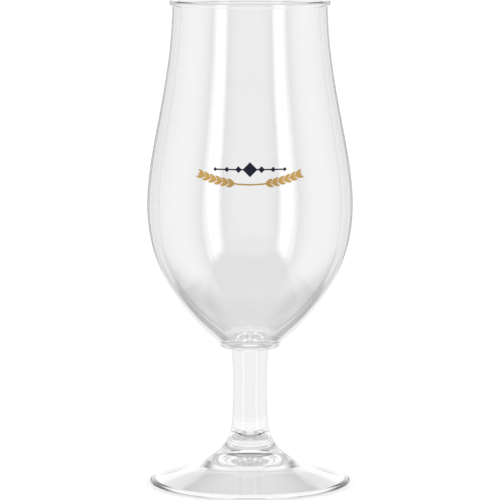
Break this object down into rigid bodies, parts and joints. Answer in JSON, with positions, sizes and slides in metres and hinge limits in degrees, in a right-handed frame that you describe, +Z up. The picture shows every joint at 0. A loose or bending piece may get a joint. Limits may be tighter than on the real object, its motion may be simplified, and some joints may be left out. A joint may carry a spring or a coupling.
{
  "type": "stemmed beer glass",
  "caption": "Clear stemmed beer glass with a tulip-shaped bowl, beaded rim, collar, waisted solid stem and flared round foot, with a small gold and navy print on the front of the bowl.",
  "frame": {"origin": "centre of the ring that the foot stands on, on the table", "axes": "+Z up along the axis of the glass, -Y towards the viewer on the side with the print, +X to the viewer's right"},
  "size_m": [0.0762, 0.0762, 0.18],
  "materials": {
    "clear_glass": "fire-polished clear soda-lime glass",
    "gold_enamel": "fired screen print, satin gold",
    "navy_enamel": "fired screen print, satin navy"
  },
  "bodies": {
    "root": {"foot": "clear_glass", "stem": "clear_glass", "collar": "clear_glass", "bowl": "clear_glass", "gold_print": "gold_enamel", "navy_print": "navy_enamel"}
  },
  "joints": []
}
